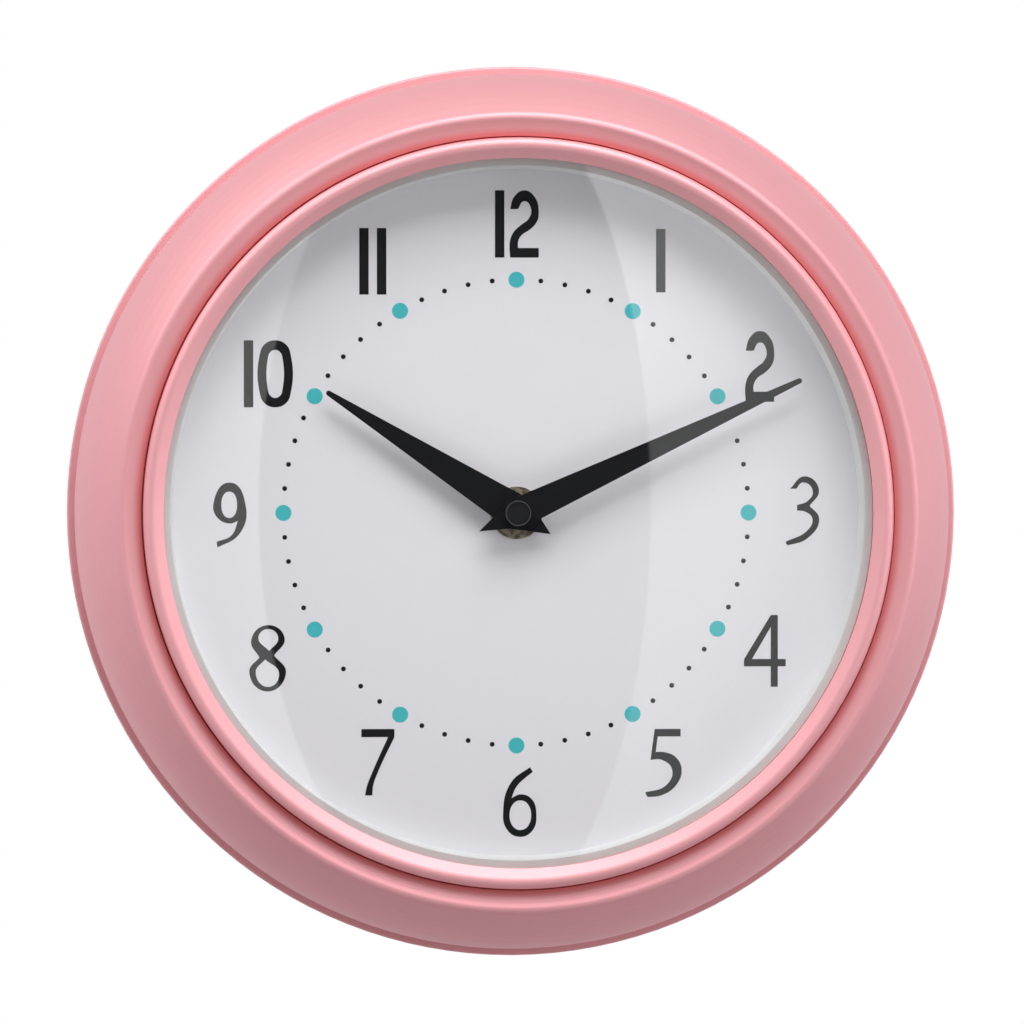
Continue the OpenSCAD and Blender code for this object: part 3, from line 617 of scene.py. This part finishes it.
def glow(name, strength, upper):
    """The front of a lit panel, upper times as bright in its upper part."""
    material = bpy.data.materials.new(name)
    material.use_nodes = True
    tree = material.node_tree
    tree.nodes.clear()
    emission = tree.nodes.new("ShaderNodeEmission")
    _, _, z = axes(tree)
    gain = between(tree, contrast(tree, z, *UPPER_PART), strength, strength * upper)
    tree.links.new(gain, emission.inputs["Strength"])
    out = tree.nodes.new("ShaderNodeOutputMaterial")
    tree.links.new(emission.outputs[0], out.inputs[0])
    return material


def add_panel(name, side, gap, far, strength, upper):
    """A tall lit panel beside the camera, to the right where side is 1 and to the left where it is -1.
    Its near edge is an arc that stands gap away from the axis at the middle, and its far edge is
    straight. Both are shares of the distance."""
    mesh = bmesh.new()
    near_edge = []
    far_edge = []
    for i in range(PANEL_STEPS + 1):
        z = PANEL_HALF * (2 * i / PANEL_STEPS - 1)
        x = gap * math.sqrt(1 - (z / PANEL_ARC) ** 2)
        near_edge.append(mesh.verts.new(Vector((side * x, -1.0, z)) * PANEL_DISTANCE))
        far_edge.append(mesh.verts.new(Vector((side * far, -1.0, z)) * PANEL_DISTANCE))
    for i in range(PANEL_STEPS):
        mesh.faces.new((near_edge[i], far_edge[i], far_edge[i + 1], near_edge[i + 1]))
    data = bpy.data.meshes.new(name)
    mesh.to_mesh(data)
    mesh.free()
    data.materials.append(glow(name, strength, upper))
    panel = bpy.data.objects.new(name, data)
    bpy.context.collection.objects.link(panel)
    panel.visible_camera = False
    panel.visible_shadow = False


FLOOR_Z = -0.9
FLOOR_HALF = 1.6
FLOOR_LIFT = 0.45  # a glow that only the camera sees


def add_floor():
    """A plain pale floor, well below the clock, that the glass doesn't mirror."""
    material, tree, shader = start_material("pale_floor")
    tint = blend(tree, noise(tree, 5.0), (0.86, 0.86, 0.86), (0.9, 0.9, 0.9))
    tree.links.new(tint, shader.inputs["Base Color"])
    shader.inputs["Roughness"].default_value = 0.7
    path = tree.nodes.new("ShaderNodeLightPath")
    lift = maths(tree, "MULTIPLY", path.outputs["Is Camera Ray"], FLOOR_LIFT)
    shader.inputs["Emission Color"].default_value = (1.0, 1.0, 1.0, 1.0)
    tree.links.new(lift, shader.inputs["Emission Strength"])
    data = bpy.data.meshes.new("floor")
    signs = [(-1, -1), (1, -1), (1, 1), (-1, 1)]
    corners = [(x * FLOOR_HALF, y * FLOOR_HALF, FLOOR_Z) for x, y in signs]
    data.from_pydata(corners, [], [(0, 1, 2, 3)])
    data.materials.append(material)
    floor = bpy.data.objects.new("floor", data)
    bpy.context.collection.objects.link(floor)
    floor.visible_glossy = False


def light_studio():
    """The white background, the room's light, three lamps, the two panels that the glass mirrors, and
    the floor."""
    world = bpy.data.worlds.new("studio")
    bpy.context.scene.world = world
    only_camera_sees(world, seen=(1.0, 1.0, 1.0), front=(0.035, 0.035, 0.04), beside=(0.93, 0.93, 0.95),
                     above=(0.37, 0.37, 0.37))
    add_softbox("key", azimuth=12.0, elevation=54.0, distance=1.3, width=1.0, height=0.7, power=15.0)
    add_softbox("upper_left", azimuth=-72.0, elevation=45.0, distance=1.3, width=0.8, height=0.8,
                power=6.5)
    add_softbox("right", azimuth=62.0, elevation=3.0, distance=1.4, width=0.5, height=0.5, power=3.5)
    add_panel("left_panel", side=-1, gap=0.479, far=1.3, strength=1.0, upper=1.0)
    add_panel("right_panel", side=1, gap=0.312, far=0.95, strength=0.78, upper=1.9)
    add_floor()


# ---------------------------------------------------------------- make it all

make_camera()
dress_nodes()
print_figures()
print_dots("hour_dots", lambda minute: minute % 5 == 0, HOUR_DOT, 48, "teal_ink")
print_dots("minute_dots", lambda minute: minute % 5 != 0, MINUTE_DOT, 24, "dial_ink")
light_studio()
bpy.context.scene.view_settings.view_transform = "Standard"
